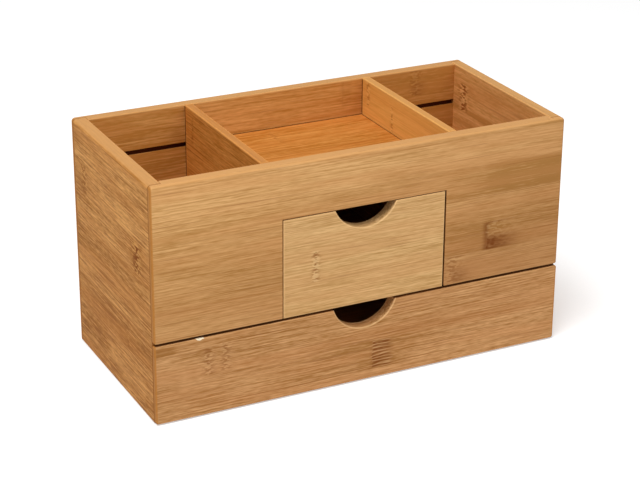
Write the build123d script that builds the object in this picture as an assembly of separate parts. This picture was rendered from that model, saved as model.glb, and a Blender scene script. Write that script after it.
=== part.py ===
from build123d import *
import os

# A bamboo storage box for makeup. All sizes are in millimetres.
# X runs to the right along the front, Y to the back and Z up.
# The origin is on the ground under the middle of the box.

# Overall size
box_width = 300.0
box_depth = 142.0
box_height = 165.0

# Boards of the box
board = 9.0
divider_board = 6.0
shelf_board = 6.0
base_board = 5.0
tray_board = 3.0

# Joints: lips of the front and back cover the ends of the sides, and panels sit in grooves
lip = 3.5
groove_depth = 3.0
groove_fit = 0.1

# Layout of the front and the compartments: the dividers stand a little outside the small
# drawer's opening, and the opening ends a little below the tray
tray_depth = 27.0
front_line = 58.0
base_lift = 1.5
opening_width = 120.0
divider_set_back = 5.25
opening_below_tray = 7.5

# Drawer boxes
drawer_wall = 6.0
drawer_panel = 3.0
drawer_panel_lift = 3.0
drawer_groove = 2.5
small_wall_drop = 7.1
large_wall_drop = 6.7

# Finger notches: one cutter, set deeper in the large drawer
notch_radius = 24.0
small_notch_depth = 15.0
large_notch_depth = 16.6

# Clearances of the drawers
stop_gap = 0.3
running_gap = 0.4
back_gap = 1.0
floor_gap = 0.8
front_gap = 1.7
small_top_gap = 0.4
small_left_play = 0.4
small_right_play = 1.1
small_box_inset = 0.5
large_side_play = 1.0

# Rounding of the outer edges, more of it along the sides, and a light sanding of the inner ones
side_round = 2.5
edge_round = 1.5
edge_ease = 0.7

# Faces and levels that the pieces share
half_width = box_width / 2
side_face = half_width - board
front_face = -box_depth / 2
back_face = box_depth / 2
front_inner = front_face + board
back_inner = back_face - board
side_front = front_face + lip
side_back = back_face - lip
base_top = base_lift + base_board
shelf_top = front_line + shelf_board
tray_top = box_height - tray_depth
tray_under = tray_top - tray_board
opening_top = tray_under - opening_below_tray
half_opening = opening_width / 2
half_middle = half_opening + divider_set_back
drawer_back_end = back_inner - back_gap
drawer_front_inner = front_inner - stop_gap

# Cutters run this far past the faces that they cut through
past = 1.0


def block(x_one, x_two, y_one, y_two, z_one, z_two):
    """A straight-sided piece between two opposite corners, in either order."""
    size = (abs(x_two - x_one), abs(y_two - y_one), abs(z_two - z_one))
    middle = ((x_one + x_two) / 2, (y_one + y_two) / 2, (z_one + z_two) / 2)
    return Pos(*middle) * Box(*size)


def edges_at(shape, axis, **place):
    """The straight edges along an axis whose middles lie at the given X, Y or Z."""
    found = shape.edges().filter_by(axis)
    for letter, value in place.items():
        found = found.filter_by(lambda edge: abs(getattr(edge.center(), letter) - value) < 0.01)
    return found


def end_board(y_outer, inward, z_low):
    """The front or back board: full width, with its outer edges rounded, and with a rebate at
    each end that leaves a lip over the end of the side. Inward is 1 or -1 along Y."""
    y_inner = y_outer + inward * board
    shape = block(-half_width, half_width, y_outer, y_inner, z_low, box_height)
    for side in (-1, 1):
        shape = fillet(edges_at(shape, Axis.Y, X=side * half_width, Z=box_height), side_round)
    outer = edges_at(shape, Axis.X, Y=y_outer, Z=box_height)
    for side in (-1, 1):
        outer += edges_at(shape, Axis.Z, X=side * half_width, Y=y_outer)
        outer += edges_at(shape, Axis.Y, X=side * half_width, Z=z_low)
    shape = fillet(outer, edge_round)
    shape = fillet(edges_at(shape, Axis.X, Y=y_inner, Z=box_height), edge_ease)
    shape = fillet(edges_at(shape, Axis.X, Y=y_outer, Z=z_low), edge_ease)
    for side in (-1, 1):
        shape -= block(
            side * side_face, side * (half_width + past),
            y_outer + inward * lip, y_inner + inward * past,
            z_low - past, box_height + past,
        )
    return shape


def side_board():
    """The left side: between the lips of the front and back, with two grooves inside."""
    shape = block(-half_width, -side_face, side_front, side_back, 0, box_height)
    shape = fillet(edges_at(shape, Axis.Y, X=-half_width, Z=box_height), side_round)
    shape = fillet(edges_at(shape, Axis.Y, X=-half_width, Z=0), edge_round)
    shape = fillet(edges_at(shape, Axis.Z, X=-half_width), edge_ease)
    shape = fillet(edges_at(shape, Axis.Y, X=-side_face, Z=box_height), edge_ease)
    for low, high in ((base_lift, base_top), (front_line, shelf_top)):
        shape -= block(
            -side_face - groove_depth, -side_face + past,
            front_inner, side_back + past,
            low - groove_fit, high + groove_fit,
        )
    return shape


def inside_groove(y_face, outward, z_low, z_high):
    """A cutter for a groove along the inner face of the front or back, between the sides.
    Outward is 1 or -1 along Y, from the inside of the box into the board."""
    return block(
        -side_face, side_face,
        y_face + outward * groove_depth, y_face - outward * past,
        z_low - groove_fit, z_high + groove_fit,
    )


def finger_notch(z_edge, depth, y_low, y_high):
    """A round cutter through a drawer front, as deep as given below its top edge."""
    centre = z_edge - depth + notch_radius
    length = y_high - y_low + 2 * past
    turned = Pos(0, (y_low + y_high) / 2, centre) * Rot(90, 0, 0)
    return turned * Cylinder(notch_radius, length)


def front_face_edges(shape):
    """All the edges that bound the outer face of a drawer front."""
    return shape.faces().sort_by(Axis.Y)[0].edges()


def drawer_box(front, x_left, x_right, z_low, z_top):
    """The box behind a drawer front: two sides, a back and a bottom panel in grooves.
    Gives the front with its groove, and the four other pieces."""
    inner_left = x_left + drawer_wall
    inner_right = x_right - drawer_wall
    back_low = drawer_back_end - drawer_wall
    panel_low = z_low + drawer_panel_lift
    panel_high = panel_low + drawer_panel
    groove = block(
        inner_left - drawer_groove, inner_right + drawer_groove,
        drawer_front_inner - drawer_groove, back_low + drawer_groove,
        panel_low - groove_fit, panel_high + groove_fit,
    )
    left = block(x_left, inner_left, drawer_front_inner, drawer_back_end, z_low, z_top)
    right = block(inner_right, x_right, drawer_front_inner, drawer_back_end, z_low, z_top)
    back = block(inner_left, inner_right, back_low, drawer_back_end, z_low, z_top)
    walls = []
    for wall in (left, right, back):
        top = wall.faces().sort_by(Axis.Z)[-1].edges()
        long_way = Axis.X if wall is back else Axis.Y
        walls.append(fillet(top.filter_by(long_way), edge_ease) - groove)
    reach = drawer_groove - groove_fit
    bottom = block(
        inner_left - reach, inner_right + reach,
        drawer_front_inner - reach, back_low + reach,
        panel_low, panel_high,
    )
    return front - groove, *walls, bottom


pieces = {}

# The two sides stand on the ground and carry the shelf and the base in their grooves
pieces["left_side"] = side_board()
pieces["right_side"] = mirror(pieces["left_side"], about=Plane.YZ)

# The front panel ends above the large drawer, and the small drawer's opening is cut up into it
front_panel = end_board(front_face, 1, front_line)
front_panel -= block(
    -half_opening, half_opening,
    front_face - past, front_inner + past,
    front_line - past, opening_top,
)
jamb_edges = edges_at(front_panel, Axis.X, Y=front_face, Z=opening_top)
for side in (-1, 1):
    jamb_edges += edges_at(front_panel, Axis.Z, X=side * half_opening, Y=front_face)
front_panel = fillet(jamb_edges, edge_ease)
pieces["front_panel"] = front_panel - inside_groove(front_inner, -1, tray_under, tray_top)

# The back panel stands on the ground, and its grooves hold the tray floor, shelf and base
back_panel = end_board(back_face, -1, 0)
for low, high in ((tray_under, tray_top), (front_line, shelf_top), (base_lift, base_top)):
    back_panel -= inside_groove(back_inner, 1, low, high)
pieces["back_panel"] = back_panel

# The dividers stand on the shelf between front and back, level with the rim
left_divider = block(
    -half_middle - divider_board, -half_middle,
    front_inner, back_inner,
    shelf_top, box_height,
)
pieces["left_divider"] = fillet(edges_at(left_divider, Axis.Y, Z=box_height), edge_ease)
pieces["right_divider"] = mirror(pieces["left_divider"], about=Plane.YZ)

# The tray floor is a thin panel between the dividers, in the grooves of front and back
groove_reach = groove_depth - groove_fit
pieces["tray_floor"] = block(
    -half_middle, half_middle,
    front_inner - groove_reach, back_inner + groove_reach,
    tray_under, tray_top,
)

# The shelf is the floor of the deep compartments, and the small drawer runs on it
pieces["middle_shelf"] = block(
    -side_face - groove_reach, side_face + groove_reach,
    front_inner, back_inner + groove_reach,
    front_line, shelf_top,
)

# The base closes the box below, and the large drawer runs on it
pieces["base_panel"] = block(
    -side_face - groove_reach, side_face + groove_reach,
    front_inner, back_inner + groove_reach,
    base_lift, base_top,
)

# The small drawer is inset in the opening, nearer to its left edge than to its right
small_left = -half_opening + small_left_play
small_right = half_opening - small_right_play
small_top = opening_top - small_top_gap
small_front = block(small_left, small_right, front_face, drawer_front_inner, front_line, small_top)
small_front -= finger_notch(small_top, small_notch_depth, front_face, drawer_front_inner)
small_front = fillet(front_face_edges(small_front), edge_ease)
(
    pieces["small_drawer_front"],
    pieces["small_drawer_left_side"],
    pieces["small_drawer_right_side"],
    pieces["small_drawer_back"],
    pieces["small_drawer_bottom"],
) = drawer_box(
    small_front,
    small_left + small_box_inset,
    small_right - small_box_inset,
    shelf_top + running_gap,
    small_top - small_wall_drop,
)

# The large drawer's front covers the ends of the sides with a lip at each end
large_top = front_line - front_gap
large_half = side_face - large_side_play
large_front = block(
    -half_width, half_width,
    front_face, drawer_front_inner,
    floor_gap, large_top,
)
for side in (-1, 1):
    large_front -= block(
        side * large_half, side * (half_width + past),
        side_front - stop_gap, drawer_front_inner + past,
        floor_gap - past, large_top + past,
    )
    large_front = fillet(edges_at(large_front, Axis.Y, X=side * half_width), edge_round)
large_front -= finger_notch(large_top, large_notch_depth, front_face, drawer_front_inner)
large_front = fillet(front_face_edges(large_front), edge_ease)
(
    pieces["large_drawer_front"],
    pieces["large_drawer_left_side"],
    pieces["large_drawer_right_side"],
    pieces["large_drawer_back"],
    pieces["large_drawer_bottom"],
) = drawer_box(
    large_front,
    -large_half,
    large_half,
    base_top + running_gap,
    large_top - large_wall_drop,
)

os.makedirs("parts", exist_ok=True)
for name, shape in pieces.items():
    export_step(shape, f"parts/{name}.step")
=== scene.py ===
from math import radians

import bpy
import bmesh
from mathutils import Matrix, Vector


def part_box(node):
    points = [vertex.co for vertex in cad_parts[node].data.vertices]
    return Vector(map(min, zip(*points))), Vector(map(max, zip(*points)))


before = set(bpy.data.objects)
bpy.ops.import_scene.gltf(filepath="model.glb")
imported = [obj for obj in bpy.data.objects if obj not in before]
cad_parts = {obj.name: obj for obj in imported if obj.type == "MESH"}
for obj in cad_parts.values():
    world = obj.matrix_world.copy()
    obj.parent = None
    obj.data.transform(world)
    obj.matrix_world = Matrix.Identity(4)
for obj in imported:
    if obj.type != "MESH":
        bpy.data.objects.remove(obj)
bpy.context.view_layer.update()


# The photographer's camera: a long lens, looking down at the box from its front left.
# Its place and turn come from matching the box's own edges.
def in_scene(name, data):
    """A new object with the given data, put into the scene."""
    thing = bpy.data.objects.new(name, data)
    bpy.context.scene.collection.objects.link(thing)
    return thing


lens = bpy.data.cameras.new("shop_camera")
lens.lens = 109.4
lens.sensor_width = 36
camera = in_scene("shop_camera", lens)
camera.location = (-0.5478, -1.1047, 0.6024)
camera.rotation_euler = (radians(66.701), radians(-0.353), radians(-26.297))
bpy.context.scene.camera = camera
bpy.context.scene.view_settings.view_transform = "Standard"

# The studio table: a smooth pale sheet that the box stands on. It is matt, takes the box's
# shadow, and looks white to the camera, also far away, where the lamps hardly reach it.
table_size = 12
table_sink = 0.0002
sheet = bmesh.new()
bmesh.ops.create_grid(sheet, x_segments=1, y_segments=1, size=table_size / 2)
bmesh.ops.translate(sheet, verts=sheet.verts, vec=(0, 0, -table_sink))
table_mesh = bpy.data.meshes.new("studio_table")
sheet.to_mesh(table_mesh)
sheet.free()
table = in_scene("studio_table", table_mesh)


def empty_tree(owner):
    """The node tree of a material or of the world, with nothing in it yet."""
    owner.use_nodes = True
    owner.node_tree.nodes.clear()
    return owner.node_tree


def add(tree, kind, inputs=None, **settings):
    """A new node with its settings, and with each named or numbered input set or linked."""
    node = tree.nodes.new(kind)
    for key, value in settings.items():
        setattr(node, key, value)
    for key, value in (inputs or {}).items():
        if isinstance(value, bpy.types.NodeSocket):
            tree.links.new(value, node.inputs[key])
        else:
            node.inputs[key].default_value = value
    return node


def maths(tree, operation, *values, clamp=False):
    """The result of one sum on up to three numbers or sockets."""
    inputs = dict(enumerate(values))
    return add(tree, "ShaderNodeMath", inputs, operation=operation, use_clamp=clamp).outputs[0]


def shown_directly(tree):
    """1 where the camera sees a surface, straight or in a gloss or glass, and 0 for its light."""
    path = add(tree, "ShaderNodeLightPath").outputs
    mirrored = maths(tree, "ADD", path["Is Glossy Ray"], path["Is Transmission Ray"])
    return maths(tree, "ADD", path["Is Camera Ray"], mirrored, clamp=True)


paper = bpy.data.materials.new("studio_paper")
tree = empty_tree(paper)
spot = add(tree, "ShaderNodeTexCoord").outputs["Object"]
distance = add(tree, "ShaderNodeVectorMath", {0: spot}, operation="LENGTH").outputs["Value"]
glow_level = add(tree, "ShaderNodeMapRange", {
    "Value": distance, "From Min": 1.0, "From Max": 3.0, "To Min": 0.36, "To Max": 0.9,
}, interpolation_type="SMOOTHSTEP").outputs[0]
lift = maths(tree, "MULTIPLY", shown_directly(tree), glow_level)
matt = add(tree, "ShaderNodeBsdfDiffuse", {"Color": (0.82, 0.82, 0.82, 1)})
glow = add(tree, "ShaderNodeEmission", {"Color": (1, 1, 1, 1), "Strength": lift})
both = add(tree, "ShaderNodeAddShader", {0: matt.outputs[0], 1: glow.outputs[0]})
add(tree, "ShaderNodeOutputMaterial", {"Surface": both.outputs[0]})
table_mesh.materials.append(paper)

# The room: soft light that comes from all sides and fills the shadows. The camera sees the
# room as white, which is brighter than the light that it gives.
room = bpy.data.worlds.new("studio_room")
bpy.context.scene.world = room
tree = empty_tree(room)
level = add(tree, "ShaderNodeMapRange", {
    "Value": shown_directly(tree), "To Min": 0.35, "To Max": 1.0,
}).outputs[0]
sky = add(tree, "ShaderNodeBackground", {"Color": (1, 1, 1, 1), "Strength": level})
add(tree, "ShaderNodeOutputWorld", {"Surface": sky.outputs[0]})


# The lamps: large square soft boxes, with the main one high above the box on the left and a
# weaker one in front of it on the right.
def soft_box(name, place, width, power):
    """A square lamp of a given width and power that faces the middle of the box."""
    data = bpy.data.lights.new(name, "AREA")
    data.shape = "SQUARE"
    data.size = width
    data.energy = power
    lamp = in_scene(name, data)
    lamp.location = place
    lamp.rotation_euler = Vector(place).to_track_quat("Z", "Y").to_euler()


soft_box("top_lamp", place=(-0.85, -0.6, 2.2), width=1.2, power=44)
soft_box("front_lamp", place=(0.6, -2.2, 1.2), width=1.4, power=16)


# The sides: bamboo boards, pressed from strips that run front to back, and lacquered. They
# stand between the front and back boards. What all the boards share is made here: the pattern
# of the strips, the rings where the culms had their joints, the pale edges, which are partly
# wear and partly a painted highlight, and the lacquer.
mm = 0.001
rim_height = 165 * mm
side_end = 67.5 * mm
wide_strip = 20.7


def group(name, inputs, outputs):
    """A shader node group: its tree, what it is given, and the sockets of its results."""
    tree = bpy.data.node_groups.new(name, "ShaderNodeTree")
    sockets = tree.interface
    for label, kind, value in inputs:
        socket = sockets.new_socket(label, in_out="INPUT", socket_type=f"NodeSocket{kind}")
        socket.default_value = value
    for label, kind in outputs:
        sockets.new_socket(label, in_out="OUTPUT", socket_type=f"NodeSocket{kind}")
    given = tree.nodes.new("NodeGroupInput").outputs
    return tree, given, tree.nodes.new("NodeGroupOutput").inputs


def split(tree, point):
    """The three parts of a point."""
    return add(tree, "ShaderNodeSeparateXYZ", {0: point}).outputs


def vector(tree, operation, *values):
    """The result of one sum on vectors."""
    inputs = dict(enumerate(values))
    return add(tree, "ShaderNodeVectorMath", inputs, operation=operation).outputs[0]


def lengthened(tree, arrow, amount):
    """A fixed vector, made longer or shorter by an amount."""
    inputs = {0: arrow, "Scale": amount}
    return add(tree, "ShaderNodeVectorMath", inputs, operation="SCALE").outputs[0]


def times(tree, product, *factors):
    """The product of two or more numbers or sockets."""
    for factor in factors:
        product = maths(tree, "MULTIPLY", product, factor)
    return product


def times_plus(tree, value, factor, more):
    """A value times a factor, plus more."""
    return maths(tree, "MULTIPLY_ADD", value, factor, more)


def largest(tree, top, *others):
    """The largest of two or more numbers or sockets."""
    for other in others:
        top = maths(tree, "MAXIMUM", top, other)
    return top


def blended(tree, share, first, second):
    """The first colour, with a share of the second over it."""
    inputs = {"Factor": share, "A": first, "B": second}
    return add(tree, "ShaderNodeMix", inputs, data_type="RGBA").outputs["Result"]


def noise(tree, point, scales, detail=1.0):
    """Noise from 0 to 1 on a point whose along, across and through are each scaled, per metre."""
    return add(tree, "ShaderNodeTexNoise", {
        "Vector": vector(tree, "MULTIPLY", point, scales),
        "Scale": 1.0, "Detail": detail, "Roughness": 0.5,
    }, noise_dimensions="3D").outputs["Fac"]


def step(tree, value, low, high):
    """A smooth step of a value, from 0 at the first level to 1 at the second."""
    inputs = {"Value": value, "From Min": low, "From Max": high}
    return add(tree, "ShaderNodeMapRange", inputs, interpolation_type="SMOOTHSTEP").outputs[0]


def bell(tree, value, width):
    """1 where a value is 0, fading to both sides within about a width."""
    share = maths(tree, "DIVIDE", value, width)
    return maths(tree, "EXPONENT", times(tree, share, share, -1))


def sway(tree, level, source, share):
    """A level, moved up or down by a share of how far a noise is from its middle."""
    return times_plus(tree, maths(tree, "SUBTRACT", source, 0.5), share, level)


def culm_ring_group():
    """The ring that a joint of the culm leaves in one strip: a dark line, a chain of dark and
    pale ticks along it, a patch behind it, brown below and stippled above, and rungs across
    the patch. It goes over the dark and the light marks that it is given."""
    tree, given, result = group(
        "culm_ring",
        [
            ("Point", "Vector", (0, 0, 0)), ("Dark", "Float", 0.0), ("Light", "Float", 0.0),
            ("Place", "Vector", (0, 0, 0)), ("Length", "Float", 0.008),
            ("Height", "Float", 0.01), ("Line", "Float", 1.0), ("Chain", "Float", 0.5),
            ("Patch", "Float", 0.5), ("Rungs", "Float", 0.0),
        ],
        [("Dark", "Float"), ("Light", "Float")],
    )
    point, length = given["Point"], given["Length"]
    along, across, _ = split(tree, vector(tree, "SUBTRACT", point, given["Place"]))
    height = maths(tree, "DIVIDE", across, given["Height"])
    side = maths(tree, "ABSOLUTE", height)
    inside = step(tree, side, 1.03, 0.9)
    wander = maths(tree, "SUBTRACT", noise(tree, point, (60, 330, 330)), 0.5)
    place = times_plus(tree, wander, 3 * mm, along)
    specks = noise(tree, point, (250, 650, 650))
    dark_specks = step(tree, specks, 0.47, 0.56)
    light_specks = step(tree, specks, 0.53, 0.42)

    # The line and its chain are wider on a longer ring, and the patch starts at the line
    line_width = times_plus(tree, length, 0.05, 0.8 * mm)
    chain_width = times(tree, length, 0.3)
    line = times(tree, bell(tree, place, line_width), given["Line"])
    chain = times(tree, bell(tree, place, chain_width), given["Chain"])
    behind = step(tree, place, -1 * mm, 1.2 * mm)
    patch = times(tree, behind, step(tree, place, length, 0.0))
    upper = times(tree, step(tree, height, -0.3, 0.3), patch)
    lower = times(tree, step(tree, height, 0.3, -0.3), patch)
    border = times(tree, step(tree, side, 0.84, 0.97), patch)
    smudge = largest(tree, times(tree, lower, sway(tree, 0.8, specks, 1.2)), border)

    # The rungs lie 2.4 mm apart, one above the other, each bowed, slanted and a little uneven
    rung_bow = 8
    rung_slant = -0.12
    radians_per_metre = 2600
    rung_ends = step(tree, place, length, times(tree, length, 0.6))
    rung_strength = sway(tree, 0.9, noise(tree, point, (180, 300, 300)), 2.0)
    column = times(tree, behind, rung_ends, given["Rungs"], rung_strength)
    uneven = times_plus(tree, wander, 4 * mm, across)
    bowed = times_plus(tree, times(tree, along, along), rung_bow, uneven)
    bowed = times_plus(tree, along, rung_slant, bowed)
    wave = maths(tree, "SINE", times(tree, bowed, radians_per_metre))
    wave = times_plus(tree, wave, 0.5, 0.5)

    # Dark and pale ticks come from the same specks, and dark and pale rungs from one wave
    speck_shine = 0.45
    dark_ticks = times(tree, chain, dark_specks)
    dark_rungs = times(tree, column, times_plus(tree, wave, 0.6, 0.3))
    dark = largest(tree, line, dark_ticks, times(tree, smudge, given["Patch"]), dark_rungs)
    stipple = times(tree, upper, given["Patch"], 0.5)
    pale_specks = largest(tree, stipple, times(tree, chain, 0.8))
    pale_rungs = times(tree, column, times_plus(tree, wave, -1.2, 0.4))
    light = largest(tree, times(tree, pale_specks, light_specks, speck_shine), pale_rungs)
    tree.links.new(largest(tree, given["Dark"], times(tree, dark, inside)), result["Dark"])
    tree.links.new(largest(tree, given["Light"], times(tree, light, inside)), result["Light"])
    return tree


def tone_patch_group():
    """A stretch of a strip that is paler or darker than the rest of it."""
    tree, given, result = group(
        "tone_patch",
        [
            ("Point", "Vector", (0, 0, 0)), ("Tone", "Float", 0.0),
            ("Place", "Vector", (0, 0, 0)), ("Length", "Float", 0.05),
            ("Height", "Float", 0.01), ("Change", "Float", 0.2),
        ],
        [("Tone", "Float")],
    )
    along, across, _ = split(tree, vector(tree, "SUBTRACT", given["Point"], given["Place"]))
    end = maths(tree, "ABSOLUTE", maths(tree, "DIVIDE", along, given["Length"]))
    end = sway(tree, end, noise(tree, given["Point"], (12, 150, 150)), 1.0)
    side = maths(tree, "ABSOLUTE", maths(tree, "DIVIDE", across, given["Height"]))
    share = times(tree, step(tree, end, 1.3, 0.6), step(tree, side, 1.15, 0.85))
    tree.links.new(times_plus(tree, share, given["Change"], given["Tone"]), result["Tone"])
    return tree


def bamboo_strips_group():
    """Pressed bamboo: strips side by side, each with its own tone, and in them clouds, bands,
    threads and fibres, which get shorter as they get finer. Rings and drift go on top."""
    tree, given, result = group(
        "bamboo_strips",
        [
            ("Point", "Vector", (0, 0, 0)), ("Dark", "Float", 0.0), ("Light", "Float", 0.0),
            ("Tone", "Float", 0.0), ("Board", "Float", 0.0), ("Strip Start", "Float", 0.0),
            ("Strip Width", "Float", 0.02), ("Middle", "Vector", (0, 0, 0)),
            ("Drift", "Vector", (0, 0, 0)), ("Grain", "Vector", (1, 1, 1)),
            ("Pale", "Color", (0.7, 0.4, 0.16, 1)), ("Deep", "Color", (0.5, 0.24, 0.08, 1)),
            ("Flush", "Color", (0.6, 0.28, 0.1, 1)), ("Mark", "Color", (0.22, 0.08, 0.02, 1)),
            ("Bright", "Color", (0.8, 0.5, 0.2, 1)), ("Strip Contrast", "Float", 0.3),
            ("Clouds", "Float", 0.5), ("Bands", "Float", 0.3), ("Threads", "Float", 0.3),
            ("Fibres", "Float", 0.5), ("Lines", "Float", 0.3),
        ],
        [("Color", "Color"), ("Roughness", "Float"), ("Height", "Float")],
    )
    # Each board is cut from another part of the pattern, and each strip has its own tone
    next_board = (1.37, 2.91, 0.73)
    most_strips = 17.0
    point = vector(tree, "ADD", given["Point"], lengthened(tree, next_board, given["Board"]))
    grain = vector(tree, "MULTIPLY", point, given["Grain"])
    _, across, _ = split(tree, given["Point"])
    from_start = maths(tree, "SUBTRACT", across, given["Strip Start"])
    row = maths(tree, "DIVIDE", from_start, given["Strip Width"])
    number = times_plus(tree, given["Board"], most_strips, maths(tree, "FLOOR", row))
    strip = add(tree, "ShaderNodeTexWhiteNoise", {"W": number}, noise_dimensions="1D")
    part = maths(tree, "FRACT", row)
    near = maths(tree, "MINIMUM", part, maths(tree, "SUBTRACT", 1.0, part))
    joint = step(tree, times(tree, near, given["Strip Width"]), 0.6 * mm, 0.1 * mm)

    # The grain, from the finest to the coarsest, and a redder flush over parts of it
    flush_strength = 0.4
    dashes = noise(tree, grain, (130, 1100, 1100))
    fibres = sway(tree, noise(tree, grain, (26, 1000, 1000)), dashes, 0.6)
    threads = noise(tree, grain, (10, 420, 420))
    bands = noise(tree, grain, (5.5, 170, 170))
    clouds = noise(tree, point, (6, 60, 60))
    level = sway(tree, 0.5, strip.outputs["Value"], given["Strip Contrast"])
    level = maths(tree, "ADD", level, given["Tone"])
    level = sway(tree, level, fibres, given["Fibres"])
    level = sway(tree, level, threads, given["Threads"])
    level = sway(tree, level, bands, given["Bands"])
    level = sway(tree, level, clouds, given["Clouds"])
    level = maths(tree, "MAXIMUM", level, 0, clamp=True)
    flushed = step(tree, noise(tree, point, (9, 90, 90)), 0.35, 0.7)
    wood = blended(tree, level, given["Deep"], given["Pale"])
    wood = blended(tree, times(tree, flushed, flush_strength), wood, given["Flush"])

    # Thin dark lines and the faint joints of the strips, and then the rings over them
    joint_strength = 0.12
    lines = sway(tree, noise(tree, grain, (12, 900, 900)), dashes, 0.3)
    lines = times(tree, step(tree, lines, 0.62, 0.74), given["Lines"])
    dark = largest(tree, lines, times(tree, joint, joint_strength))
    dark = maths(tree, "MAXIMUM", dark, given["Dark"], clamp=True)
    wood = blended(tree, dark, wood, given["Mark"])
    wood = blended(tree, given["Light"], wood, given["Bright"])

    # The drift makes one end of the board paler, more so in blue, which takes out some yellow
    drift_gain = (1.1, 1.45, 1.6)
    from_middle = vector(tree, "SUBTRACT", given["Point"], given["Middle"])
    drift = add(tree, "ShaderNodeVectorMath", {
        0: from_middle, 1: given["Drift"],
    }, operation="DOT_PRODUCT").outputs["Value"]
    gain = vector(tree, "ADD", lengthened(tree, drift_gain, drift), (1, 1, 1))
    tree.links.new(vector(tree, "MULTIPLY", wood, gain), result["Color"])

    # Dark marks are rougher than the wood round them, and a little sunk
    rough = sway(tree, 0.56, fibres, 0.4)
    tree.links.new(times_plus(tree, dark, 0.15, rough), result["Roughness"])
    relief = times_plus(tree, threads, 0.5, fibres)
    tree.links.new(times_plus(tree, dark, -0.15, relief), result["Height"])
    return tree


def board_edges_group():
    """1 along the edges of a board with the given corners, and 0 away from them."""
    tree, given, result = group(
        "board_edges",
        [
            ("Point", "Vector", (0, 0, 0)), ("Low", "Vector", (0, 0, 0)),
            ("High", "Vector", (1, 1, 1)), ("Width", "Float", 0.001),
        ],
        [("Edge", "Float")],
    )
    above = vector(tree, "SUBTRACT", given["Point"], given["Low"])
    below = vector(tree, "SUBTRACT", given["High"], given["Point"])
    x, y, z = split(tree, vector(tree, "MINIMUM", above, below))

    # A point is on an edge where it is near two faces, so the second nearest one counts
    nearer = maths(tree, "MINIMUM", x, y)
    further = maths(tree, "MAXIMUM", x, y)
    second = largest(tree, nearer, maths(tree, "MINIMUM", further, z))
    wobble = maths(tree, "ADD", noise(tree, given["Point"], (260, 260, 260), detail=2.0), 0.5)
    width = times(tree, given["Width"], wobble)
    edge = step(tree, maths(tree, "DIVIDE", second, width), 1.0, 0.3)
    tree.links.new(edge, result["Edge"])
    return tree


culm_ring = culm_ring_group()
tone_patch = tone_patch_group()
bamboo_strips = bamboo_strips_group()
board_edges = board_edges_group()


def colour(red, green, blue):
    """A colour as a screen shows it, from 0 to 255, turned into light."""
    shown = [part / 255 for part in (red, green, blue)]
    light = [part / 12.92 if part < 0.04045 else ((part + 0.055) / 1.055) ** 2.4 for part in shown]
    return (*light, 1)


def tones(red, green, blue, spread=1.0):
    """The tones of one bamboo around its middle colour: paler, deeper and redder wood, the
    brown of its rings, and the bright fibres. A spread of 1 puts the pale and the deep wood 21
    steps of the screen from the middle."""
    reach = 21 * spread
    middle = colour(red, green, blue)[:3]
    ratios = {"Flush": (1.07, 0.96, 1.0), "Mark": (0.42, 0.25, 0.16), "Bright": (1.6, 2.0, 2.6)}
    found = {
        "Pale": colour(red + reach, green + reach, blue + reach),
        "Deep": colour(red - reach, green - reach, blue - reach),
    }
    for name, parts in ratios.items():
        found[name] = (*[part * ratio for part, ratio in zip(middle, parts)], 1)
    return found


def ring(along, across, length, height, line=0.0, chain=0.0, patch=0.0, rungs=0.0):
    """A culm ring: its place, how far its patch reaches and half the width of its strip, in
    millimetres, and how strong each part of it is."""
    return {
        "Place": (along * mm, across * mm, 0), "Length": length * mm, "Height": height * mm,
        "Line": line, "Chain": chain, "Patch": patch, "Rungs": rungs,
    }


def stretch(along, across, length, height, change):
    """A paler or darker stretch: its place and half its size in millimetres, and its change."""
    return {
        "Place": (along * mm, across * mm, 0), "Length": length * mm, "Height": height * mm,
        "Change": change,
    }


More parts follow.
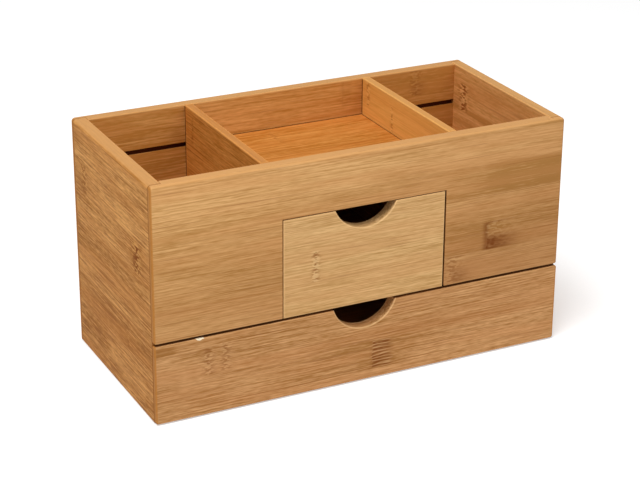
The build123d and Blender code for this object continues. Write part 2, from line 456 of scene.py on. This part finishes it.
def bamboo_board(
    name, grain, number, look, start=0, width=20, rings=(), stretches=(),
    drift=(0, 0), edge_wear_and_highlight=0.45, rim=None, lines=None,
):
    """Gives a board its own lacquered bamboo. Grain names the axes along its strips, across
    them and through the board, and each board's number gives it a pattern of its own. Start
    and width place its strips, in millimetres. Drift is how much paler it gets per metre along
    and across, and rim the colour of its sanded top. Its edges are made paler by a given share,
    partly for wear and partly as a painted highlight. Lines is given the colour, and adds dark
    or pale lines to it."""
    low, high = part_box(name)
    middle = (low + high) / 2
    material = bpy.data.materials.new(f"{name}_bamboo")
    tree = empty_tree(material)
    place = add(tree, "ShaderNodeTexCoord").outputs["Object"]
    parts = split(tree, place)
    turned = dict(enumerate(parts[axis] for axis in grain))
    point = add(tree, "ShaderNodeCombineXYZ", turned).outputs[0]

    dark, light, tone = 0.0, 0.0, 0.0
    for values in rings:
        marks = add(tree, "ShaderNodeGroup", {
            "Point": point, "Dark": dark, "Light": light, **values,
        }, node_tree=culm_ring).outputs
        dark, light = marks["Dark"], marks["Light"]
    for values in stretches:
        tone = add(tree, "ShaderNodeGroup", {
            "Point": point, "Tone": tone, **values,
        }, node_tree=tone_patch).outputs["Tone"]
    strips = add(tree, "ShaderNodeGroup", {
        "Point": point, "Dark": dark, "Light": light, "Tone": tone, "Board": number,
        "Strip Start": start * mm, "Strip Width": width * mm,
        "Middle": [middle["XYZ".index(axis)] for axis in grain], "Drift": (*drift, 0), **look,
    }, node_tree=bamboo_strips).outputs
    edges = add(tree, "ShaderNodeGroup", {
        "Point": place, "Low": low, "High": high, "Width": 1.4 * mm,
    }, node_tree=board_edges).outputs["Edge"]

    wood = strips["Color"]
    sanding = 0.75
    if rim:
        on_top = step(tree, parts["Z"], rim_height - 1.6 * mm, rim_height - 0.2 * mm)
        wood = blended(tree, times(tree, on_top, sanding), wood, rim)
    # Paler edges: partly wear, partly a painted highlight on their rounding
    wood = blended(tree, times(tree, edges, edge_wear_and_highlight), wood, look["Pale"])
    if lines:
        wood = lines(tree, place, wood)
    bump = add(tree, "ShaderNodeBump", {
        "Height": strips["Height"], "Strength": 0.25, "Distance": 0.2 * mm,
    })
    lacquer = add(tree, "ShaderNodeBsdfPrincipled", {
        "Base Color": wood, "Roughness": strips["Roughness"], "Normal": bump.outputs[0],
        "Specular IOR Level": 0.03, "Coat Weight": 0.02, "Coat Roughness": 0.3,
    })
    add(tree, "ShaderNodeOutputMaterial", {"Surface": lacquer.outputs[0]})
    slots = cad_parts[name].data.materials
    slots.clear()
    slots.append(material)


seam_brown = colour(126, 72, 26)
seam_strength = 0.7


def dark_seam(tree, place, wood):
    """A thin dark line down the ends of a side, where the lips of the front and back lap them."""
    _, y, _ = split(tree, place)
    seam = step(tree, maths(tree, "ABSOLUTE", y), side_end - 1.3 * mm, side_end - 0.6 * mm)
    return blended(tree, times(tree, seam, seam_strength), wood, seam_brown)


upright_along_y = ("Y", "Z", "X")
side_look = {
    **tones(183, 125, 58, spread=1.75), "Grain": (1.3, 0.85, 0.85), "Strip Contrast": 0.35,
    "Clouds": 0.6, "Bands": 0.3, "Threads": 0.35, "Fibres": 1.9, "Lines": 0.5,
}
bamboo_board(
    "left_side", upright_along_y, 1, side_look, start=14.2, width=wide_strip,
    rings=[
        ring(-45, 107.4, 26, 10.4, chain=0.9),
        ring(50, 128.1, 20, 10.4, line=0.1, chain=0.6, patch=0.6),
        ring(-24, 45.3, 8, 10.4, line=0.1, chain=0.4, patch=0.1),
    ],
    stretches=[
        stretch(-30, 140, 45, 20, 0.12), stretch(38, 24.6, 25, 10.4, -0.25),
        stretch(40, 107.4, 20, 10.4, -0.1), stretch(-40, 66, 30, 10.4, -0.1),
        stretch(-45, 10, 30, 6, 0.1), stretch(-62, 16, 9, 9, -0.2),
        stretch(-45, 107.4, 12, 12, -0.15),
    ],
    drift=(0, 0.7), edge_wear_and_highlight=0.25, rim=colour(202, 151, 95), lines=dark_seam,
)
far_look = {
    **tones(214, 152, 86, spread=0.8), "Grain": (1.4, 0.62, 0.62), "Strip Contrast": 0.3,
    "Clouds": 1.2, "Bands": 0.8, "Threads": 0.9, "Fibres": 2.0, "Lines": 0.3,
}
bamboo_board(
    "right_side", upright_along_y, 2, far_look, start=133, width=wide_strip,
    rings=[
        ring(48, 143.3, 20, 10.4, line=0.1, chain=0.9, patch=0.4),
        ring(-30, 122.6, 5, 10.4, line=0.3, chain=0.7, patch=0.3),
        ring(10, 60.5, 7, 10.4, line=0.2, chain=0.6, patch=0.2, rungs=0.5),
        ring(-50, 19.1, 5, 10.4, line=0.2, chain=0.8, patch=0.2),
    ],
    stretches=[stretch(0, 134.5, 90, 1.6, -0.5)],
    rim=colour(193, 147, 92), lines=dark_seam,
)

# The front and back boards: strips along the box, and a thin lip that laps the end of each
# side. The front ends above the large drawer, and the small drawer's opening is sawn up into
# it. Painted shade darkens the grooves inside where they run on past the tray floor, and the
# front's faces that look into the gaps round the drawers.
half_width = 150 * mm
front_face = -71 * mm
inner_face = 62 * mm
groove_floor = 65 * mm
groove_top = 148 * mm
front_line = 58 * mm
half_opening = 60 * mm
opening_top = 127.5 * mm
# Painted shade colours: faces that look into the gaps round the drawers, and the groove walls
gap_shade_brown = colour(118, 74, 40)
groove_shade_brown = colour(84, 38, 14)
lip_brown = colour(174, 113, 48)
lip_strength = 0.8


def shaded_lips(tree, place, wood):
    """The ends of the lips, which show end grain and so are a little browner."""
    x, _, _ = split(tree, place)
    at_end = step(tree, maths(tree, "ABSOLUTE", x), half_width - 1.4 * mm, half_width - 0.6 * mm)
    return blended(tree, times(tree, at_end, lip_strength), wood, lip_brown)


def dark_grooves(tree, place, wood):
    """Painted shade: dark walls in the long grooves of the front and back boards, and brown on
    the faces round the small drawer's opening and under the front's bottom edge, which look
    into the gaps round the drawers."""
    x, y, z = split(tree, place)
    aside = maths(tree, "ABSOLUTE", x)
    depth = maths(tree, "ABSOLUTE", y)
    beside = times(
        tree, step(tree, aside, half_opening + 0.4 * mm, half_opening + 0.1 * mm),
        step(tree, z, opening_top + 0.4 * mm, opening_top + 0.1 * mm),
    )
    below = times(
        tree, step(tree, z, front_line + 0.4 * mm, front_line + 0.1 * mm),
        step(tree, z, front_line - 0.5 * mm, front_line - 0.1 * mm),
    )
    in_board = times(
        tree, step(tree, y, front_face + 0.4 * mm, front_face + 0.8 * mm),
        step(tree, y, -inner_face + 2 * mm, -inner_face + 1.5 * mm),
    )
    wood = blended(tree, times(tree, largest(tree, beside, below), in_board), wood, gap_shade_brown)
    in_groove = times(
        tree, step(tree, depth, inner_face + 0.1 * mm, inner_face + 0.6 * mm),
        step(tree, depth, groove_floor + 0.6 * mm, groove_floor + 0.2 * mm),
        step(tree, z, groove_top + 2 * mm, groove_top),
    )
    return shaded_lips(tree, place, blended(tree, in_groove, wood, groove_shade_brown))


upright_along_x = ("X", "Z", "Y")
front_look = {
    **tones(185, 137, 83), "Grain": (1, 1, 1), "Strip Contrast": 0.3,
    "Clouds": 0.6, "Bands": 0.38, "Threads": 0.25, "Fibres": 1.7, "Lines": 0.35,
}
bamboo_board(
    "front_panel", upright_along_x, 3, front_look, start=78.5, width=wide_strip,
    rings=[
        ring(91.7, 88.9, 34, 10.4, line=0.7, patch=1.1),
        ring(66, 69, 20, 9.8, chain=0.4, patch=0.6),
    ],
    stretches=[
        stretch(130, 130.3, 40, 10.4, -0.5), stretch(146, 130.3, 18, 10.4, -0.25),
        stretch(110, 151, 50, 10.4, 0.2), stretch(85, 130.3, 30, 10.4, -0.2),
        stretch(85, 88.9, 22, 10.4, -0.15),
    ],
    drift=(-0.5, 2.4), edge_wear_and_highlight=0.2, rim=colour(204, 151, 94), lines=dark_grooves,
)
back_look = {
    **tones(192, 133, 69), "Grain": (1.1, 0.8, 0.8), "Strip Contrast": 0.3,
    "Clouds": 0.8, "Bands": 0.6, "Threads": 0.6, "Fibres": 1.6, "Lines": 0.35,
}
bamboo_board(
    "back_panel", upright_along_x, 4, back_look, start=124, width=wide_strip,
    rings=[
        ring(108, 155, 14, 10, line=0.2, chain=0.4, patch=0.6),
        ring(50, 155, 8, 10, line=0.2, chain=0.2, patch=0.2, rungs=0.2),
        ring(-60, 92.9, 5, 10.4, line=0.2, chain=0.8, patch=0.2),
        ring(80, 51.6, 7, 10.4, line=0.2, chain=0.5, patch=0.2, rungs=0.6),
    ],
    stretches=[
        stretch(-110, 145, 40, 21, -0.25), stretch(-110, 113.6, 40, 10.4, -0.5),
        stretch(110, 145, 40, 21, -0.34), stretch(110, 113.6, 40, 10.4, -0.5),
    ],
    drift=(-0.3, 1.2), rim=colour(199, 150, 96), lines=dark_grooves,
)

# The dividers: thin bamboo boards that stand on the shelf, glued between the front and the
# back and level with the rim. A line of painted shade runs down their ends, in the corners.
# The colour of painted shade in the corners at the dividers and the tray floor
corner_shade_brown = colour(74, 30, 8)


def shaded_divider_ends(tree, place, wood):
    """A line of painted shade down each end of a divider, below the rim, in the corner."""
    _, y, z = split(tree, place)
    depth = maths(tree, "ABSOLUTE", y)
    at_end = step(tree, depth, inner_face - 1.2 * mm, inner_face - 0.6 * mm)
    under_rim = step(tree, z, rim_height - 0.5 * mm, rim_height - 1.5 * mm)
    return blended(tree, times(tree, at_end, under_rim), wood, corner_shade_brown)


left_divider_look = {
    **tones(202, 130, 53, spread=1.35), "Grain": (1.3, 0.85, 0.85), "Strip Contrast": 0.15,
    "Clouds": 0.6, "Bands": 0.32, "Threads": 0.4, "Fibres": 1.6, "Lines": 0.5,
}
bamboo_board(
    "left_divider", upright_along_y, 5, left_divider_look, start=140,
    rings=[
        ring(49, 150, 4, 10, line=0.3, chain=0.5, patch=0.4),
        ring(-20, 110, 4, 10, line=0.2, chain=0.5, patch=0.2),
    ],
    rim=colour(184, 124, 66), lines=shaded_divider_ends,
)
right_divider_look = {
    **tones(226, 165, 84, spread=0.6), "Grain": (1, 0.7, 0.7), "Strip Contrast": 0.2,
    "Clouds": 0.7, "Bands": 0.5, "Threads": 0.5, "Fibres": 1.2, "Lines": 0.15,
}
bamboo_board(
    "right_divider", upright_along_y, 6, right_divider_look, start=138,
    rings=[
        ring(17, 148, 5, 10, line=0.2, chain=0.6, patch=0.3),
        ring(53, 156, 8, 9, line=0.2, chain=0.6, patch=0.4),
    ],
    rim=colour(194, 138, 80), lines=shaded_divider_ends,
)

# The tray floor: a thin panel of an orange tone, between the dividers and in the grooves of
# the front and back. A line of painted shade shows where it meets the dividers and the back.
flat_along_x = ("X", "Y", "Z")
half_tray = 65.25 * mm
panel_strip = 22
back_strength = 0.9
tray_look = {
    **tones(190, 122, 52), "Grain": (1.2, 0.6, 0.6), "Strip Contrast": 0.15,
    "Clouds": 0.75, "Bands": 0.75, "Threads": 0.65, "Fibres": 1.8, "Lines": 0.3,
}


def tray_corner_shade(tree, place, wood):
    """A line of painted shade where the tray floor meets the dividers, and a fainter one at the
    back.
    """
    x, y, _ = split(tree, place)
    aside = maths(tree, "ABSOLUTE", x)
    by_divider = step(tree, aside, half_tray - 0.75 * mm, half_tray - 0.35 * mm)
    by_back = step(tree, y, inner_face - 1.2 * mm, inner_face - 0.7 * mm)
    joint = largest(tree, by_divider, times(tree, by_back, back_strength))
    return blended(tree, joint, wood, corner_shade_brown)


bamboo_board(
    "tray_floor", flat_along_x, 7, tray_look, start=32, width=panel_strip,
    rings=[ring(-12, 43, 6, 11, line=0.2, chain=0.4, patch=0.2)], edge_wear_and_highlight=0, lines=tray_corner_shade,
)

# The shelf and the base: bamboo panels in the grooves of the sides and the back, which the
# drawers run on. The shelf shows at the bottom of the deep compartments.
inner_look = {
    **tones(199, 146, 89, spread=0.8), "Grain": (1.1, 0.9, 0.9), "Strip Contrast": 0.3,
    "Clouds": 0.8, "Bands": 0.5, "Threads": 0.5, "Fibres": 1.5, "Lines": 0.25,
}
bamboo_board(
    "middle_shelf", flat_along_x, 8, inner_look, width=panel_strip,
    rings=[
        ring(-100, 11, 6, 11, line=0.2, chain=0.7, patch=0.2),
        ring(95, -11, 8, 11, line=0.2, chain=0.5, patch=0.2, rungs=0.6),
    ],
)
bamboo_board(
    "base_panel", flat_along_x, 9, inner_look, width=panel_strip,
    rings=[
        ring(-40, 33, 6, 11, line=0.2, chain=0.7, patch=0.2),
        ring(80, -33, 6, 11, line=0.2, chain=0.7, patch=0.2),
    ],
)

# The small drawer: a paler front with a round finger notch, and a box of thin boards behind
# it. The notch's edges carry a painted highlight, and the front's edges that face the gaps
# carry painted shade.
notch_radius = 24 * mm
drawer_front_rear = -62.3 * mm
small_top = 127.1 * mm
small_left = -59.6 * mm
small_right = 58.9 * mm
small_notch_depth = 15 * mm
# A painted highlight along the rounded edges of the notches, and how strong it is
notch_highlight_pale = colour(238, 200, 146)
notch_highlight_strength = 0.35


def gap_shaded_edges(tree, place, wood, top, left=None, right=None):
    """Painted shade on the top of a drawer front, and on its ends where they face a gap."""
    x, y, z = split(tree, place)
    gap_facing = step(tree, z, top - 0.4 * mm, top - 0.1 * mm)
    if left and right:
        at_left = step(tree, x, left + 0.4 * mm, left + 0.1 * mm)
        at_right = step(tree, x, right - 0.4 * mm, right - 0.1 * mm)
        gap_facing = largest(tree, gap_facing, at_left, at_right)
    behind = step(tree, y, front_face + 0.4 * mm, front_face + 0.8 * mm)
    return blended(tree, times(tree, gap_facing, behind), wood, gap_shade_brown)


def diagonal(tree, one_way, other_way):
    """The straight distance between two points, from how far apart they are in two ways."""
    squares = times_plus(tree, one_way, one_way, times(tree, other_way, other_way))
    return maths(tree, "SQRT", squares)


def pale_notch(tree, place, wood, top, depth):
    """A painted highlight: pale lines along the front and back edges of a finger notch."""
    x, y, z = split(tree, place)
    rise = maths(tree, "SUBTRACT", z, top - depth + notch_radius)
    off_edge = maths(tree, "SUBTRACT", diagonal(tree, x, rise), notch_radius)
    by_notch = step(tree, maths(tree, "ABSOLUTE", off_edge), 0.9 * mm, 0.4 * mm)
    by_front = step(tree, y, front_face + 1.4 * mm, front_face + 0.8 * mm)
    by_back = step(tree, y, drawer_front_rear - 1.1 * mm, drawer_front_rear - 0.5 * mm)
    share = times(tree, by_notch, largest(tree, by_front, by_back), notch_highlight_strength)
    return blended(tree, share, wood, notch_highlight_pale)


def small_front_lines(tree, place, wood):
    """Painted shade on the small drawer front's top and ends, and a painted highlight
    along its notch.
    """
    wood = gap_shaded_edges(tree, place, wood, small_top, small_left, small_right)
    return pale_notch(tree, place, wood, small_top, small_notch_depth)


light_look = {
    **tones(199, 157, 102), "Grain": (1, 1, 1), "Strip Contrast": 0.1,
    "Clouds": 0.35, "Bands": 0.28, "Threads": 0.25, "Fibres": 1.9, "Lines": 0.45,
}
bamboo_board(
    "small_drawer_front", upright_along_x, 10, light_look, start=79.8, width=wide_strip,
    rings=[ring(-36.5, 91, 9, 11.4, line=0.15, chain=0.7, patch=0.1)], lines=small_front_lines,
)
for name, grain, number, along, across in (
    ("small_drawer_left_side", upright_along_y, 11, 20, 90),
    ("small_drawer_right_side", upright_along_y, 12, -15, 110),
    ("small_drawer_back", upright_along_x, 13, 30, 90),
):
    wall_ring = ring(along, across, 5, 10, line=0.2, chain=0.7, patch=0.2)
    bamboo_board(name, grain, number, inner_look, start=80, rings=[wall_ring])
bamboo_board(
    "small_drawer_bottom", flat_along_x, 14, inner_look, width=panel_strip,
    rings=[ring(-30, 11, 5, 11, line=0.2, chain=0.7, patch=0.2)],
)

# The large drawer: a front as wide as the box, which laps the ends of the sides and has a
# deeper notch, and a wide low box behind it. A chip is out of the front's top edge.
large_top = 56.3 * mm
large_notch_depth = 16.6 * mm
chip_middle = -119 * mm
chip_reach = 3 * mm
chip_depth = 1.3 * mm
chip_pale = colour(240, 226, 196)


def chipped_edge(tree, place, wood):
    """A pale ragged chip out of the top edge of the large drawer's front."""
    x, y, z = split(tree, place)
    along = maths(tree, "DIVIDE", maths(tree, "SUBTRACT", x, chip_middle), chip_reach)
    down = maths(tree, "DIVIDE", maths(tree, "SUBTRACT", z, large_top), chip_depth)
    ragged = sway(tree, 1.0, noise(tree, place, (500, 500, 500)), 1.2)
    chipped = step(tree, times(tree, diagonal(tree, along, down), ragged), 1.0, 0.7)
    in_front = step(tree, y, front_face + 1.8 * mm, front_face + 1.2 * mm)
    return blended(tree, times(tree, chipped, in_front), wood, chip_pale)


def large_front_lines(tree, place, wood):
    """Painted shade on the large drawer front's top, its chip and lips, and a painted
    highlight along its notch.
    """
    wood = gap_shaded_edges(tree, place, wood, large_top)
    wood = shaded_lips(tree, place, chipped_edge(tree, place, wood))
    return pale_notch(tree, place, wood, large_top, large_notch_depth)


dark_look = {
    **tones(182, 133, 82, spread=1.35), "Grain": (1.2, 1, 1), "Strip Contrast": 0.18,
    "Clouds": 0.58, "Bands": 0.32, "Threads": 0.25, "Fibres": 1.8, "Lines": 0.45,
}
bamboo_board(
    "large_drawer_front", upright_along_x, 15, dark_look, start=7.6, width=wide_strip,
    rings=[
        ring(-113, 39, 14, 10, chain=0.5), ring(-101, 40, 12, 10, chain=0.5),
        ring(6, 18, 18, 10.4, line=0.2, patch=0.3, rungs=1),
    ],
    stretches=[
        stretch(90, 18, 60, 10.4, 0.14), stretch(-100, 18, 45, 10.4, 0.07),
        stretch(80, 32, 60, 3, -0.18), stretch(15, 18, 22, 10.4, -0.1),
        stretch(-146, 51.5, 10, 3, -0.4),
    ],
    edge_wear_and_highlight=0.25, lines=large_front_lines,
)
for name, grain, number, along, across in (
    ("large_drawer_left_side", upright_along_y, 16, 20, 20),
    ("large_drawer_right_side", upright_along_y, 17, -15, 40),
    ("large_drawer_back", upright_along_x, 18, 60, 40),
):
    wall_ring = ring(along, across, 5, 10, line=0.2, chain=0.7, patch=0.2)
    bamboo_board(name, grain, number, inner_look, start=10, rings=[wall_ring])
bamboo_board(
    "large_drawer_bottom", flat_along_x, 19, inner_look, width=panel_strip,
    rings=[
        ring(-70, 11, 5, 11, line=0.2, chain=0.7, patch=0.2),
        ring(60, -11, 5, 11, line=0.2, chain=0.7, patch=0.2),
    ],
)
